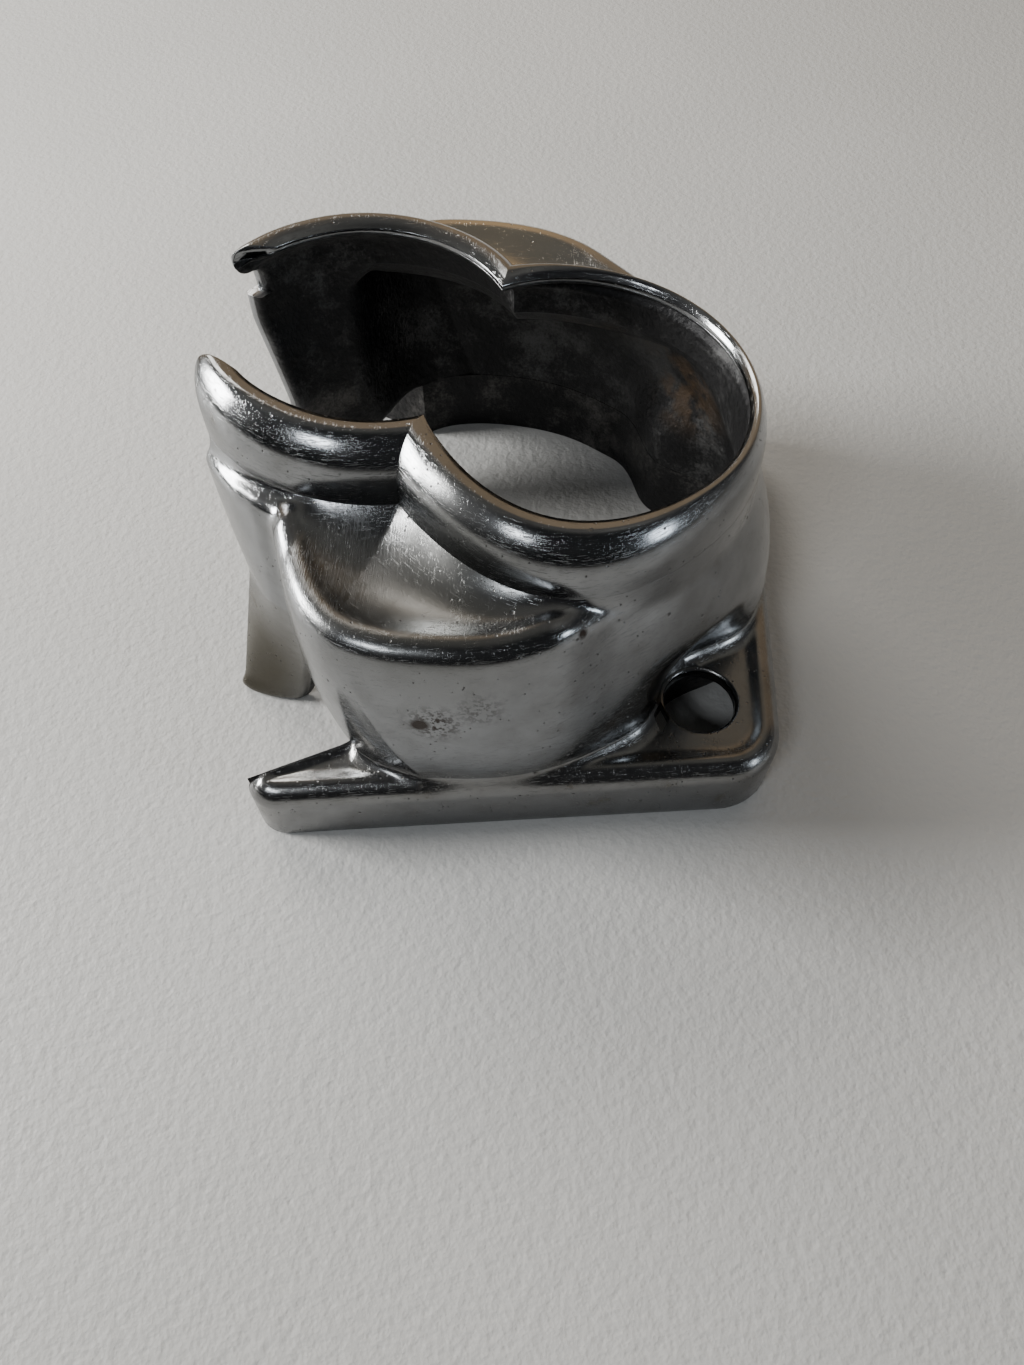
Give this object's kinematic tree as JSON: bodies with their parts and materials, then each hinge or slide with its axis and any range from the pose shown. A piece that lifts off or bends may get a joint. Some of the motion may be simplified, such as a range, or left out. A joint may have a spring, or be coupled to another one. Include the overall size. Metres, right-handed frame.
{
  "type": "paper towel holder bracket",
  "caption": "Chrome-plated cast bracket: a C-shaped cup with a two-lobed rim and bulging pouches on a shallow three-sided tray that screws flat to a surface.",
  "frame": {"origin": "centre of the overall box on the plane that the tray rests on", "axes": "+X towards the closed end and its two screws, +Y towards the rear pouch, +Z out of the mounting surface, up through the cup"},
  "size_m": [0.0558, 0.0632, 0.0363],
  "materials": {
    "bright_chrome": "bright plated, lightly scratched",
    "dull_chrome": "plated, pitted and worn"
  },
  "bodies": {
    "root": {"mounting_tray": "dull_chrome", "closed_end_wall": "bright_chrome", "front_pouch": "bright_chrome", "rear_pouch": "bright_chrome", "front_side_panel": "bright_chrome", "rear_side_panel": "bright_chrome", "front_tab": "dull_chrome", "rear_tab": "dull_chrome", "round_lobe_rim": "bright_chrome", "front_petal_rim": "bright_chrome", "rear_petal_rim": "bright_chrome"}
  },
  "joints": []
}
